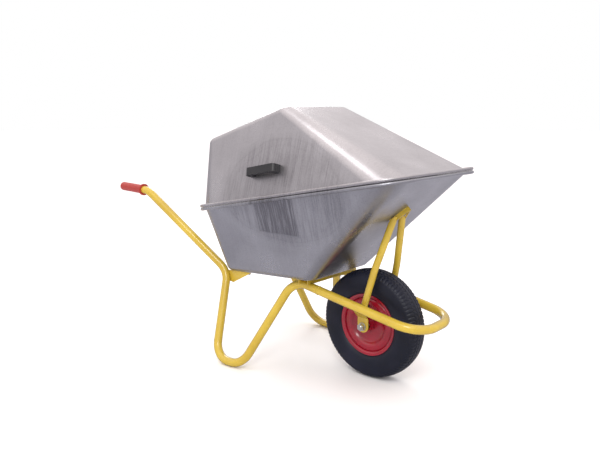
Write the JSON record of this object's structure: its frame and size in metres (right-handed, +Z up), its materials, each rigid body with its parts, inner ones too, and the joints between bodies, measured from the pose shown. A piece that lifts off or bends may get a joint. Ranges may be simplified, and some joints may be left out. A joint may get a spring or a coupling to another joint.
{
  "type": "wheelbarrow",
  "caption": "Feed wheelbarrow: deep pressed tray with a hinged lid of the same shape, bent tube frame with looped legs and a nose hoop, one pneumatic wheel.",
  "frame": {"origin": "on the ground, halfway along the overall length and midway between the sides", "axes": "+X points forward to the wheel, +Y to the barrow's left, +Z up"},
  "size_m": [1.3873, 0.6488, 0.9773],
  "materials": {
    "frame_paint": "glossy yellow enamel",
    "grip_plastic": "satin red plastic",
    "galvanised_sheet": "hot-dip galvanised, drawn",
    "zinc_plated": "zinc plated",
    "bearing_steel": "ground bearing steel",
    "rim_paint": "glossy dark red enamel",
    "tyre_rubber": "matte black rubber",
    "tube_rubber": "matte",
    "valve_rubber": "matte",
    "handle_plastic": "satin black plastic"
  },
  "bodies": {
    "frame": {"side_tube_right": "frame_paint", "side_tube_left": "frame_paint", "nose_hoop": "frame_paint", "brace_right": "frame_paint", "brace_left": "frame_paint", "rear_gusset_right": "frame_paint", "rear_gusset_left": "frame_paint", "front_cross_member": "frame_paint", "brace_bracket": "frame_paint", "axle_hanger_right": "frame_paint", "axle_hanger_left": "frame_paint", "grip_right": "grip_plastic", "grip_left": "grip_plastic", "tray": "galvanised_sheet", "tray_bolts": "zinc_plated", "tray_washers": "zinc_plated", "tray_nuts": "zinc_plated", "hinge_tray_leaves": "zinc_plated", "hinge_tray_rivets": "zinc_plated", "hinge_pins": "zinc_plated", "axle_bolt": "zinc_plated", "axle_nut": "zinc_plated", "axle_washers": "zinc_plated", "axle_spacers": "zinc_plated", "bearing_inner_rings": "bearing_steel", "bearing_spacer": "bearing_steel"},
    "wheel": {"tyre": "tyre_rubber", "inner_tube": "tube_rubber", "rim_barrel": "rim_paint", "wheel_disc_right": "rim_paint", "wheel_disc_left": "rim_paint", "hub_tube": "rim_paint", "valve_stem": "valve_rubber", "valve_cap": "handle_plastic", "bearing_outer_rings": "bearing_steel", "bearing_balls": "bearing_steel", "bearing_shields": "bearing_steel"},
    "lid": {"lid": "galvanised_sheet", "lid_handle": "handle_plastic", "lid_handle_screws": "zinc_plated", "hinge_lid_leaves": "zinc_plated", "hinge_lid_rivets": "zinc_plated"}
  },
  "joints": [
    {"name": "wheel_spin", "type": "hinge", "parent": "frame", "child": "wheel", "pos_m": [0.4145, 0, 0.2], "axis": [0, 1, 0], "continuous": true},
    {"name": "lid_hinge", "type": "hinge", "parent": "frame", "child": "lid", "pos_m": [0.20822, 0.298, 0.6701], "axis": [-0.9833, 0, -0.1822], "range_deg": [0, 115]}
  ]
}
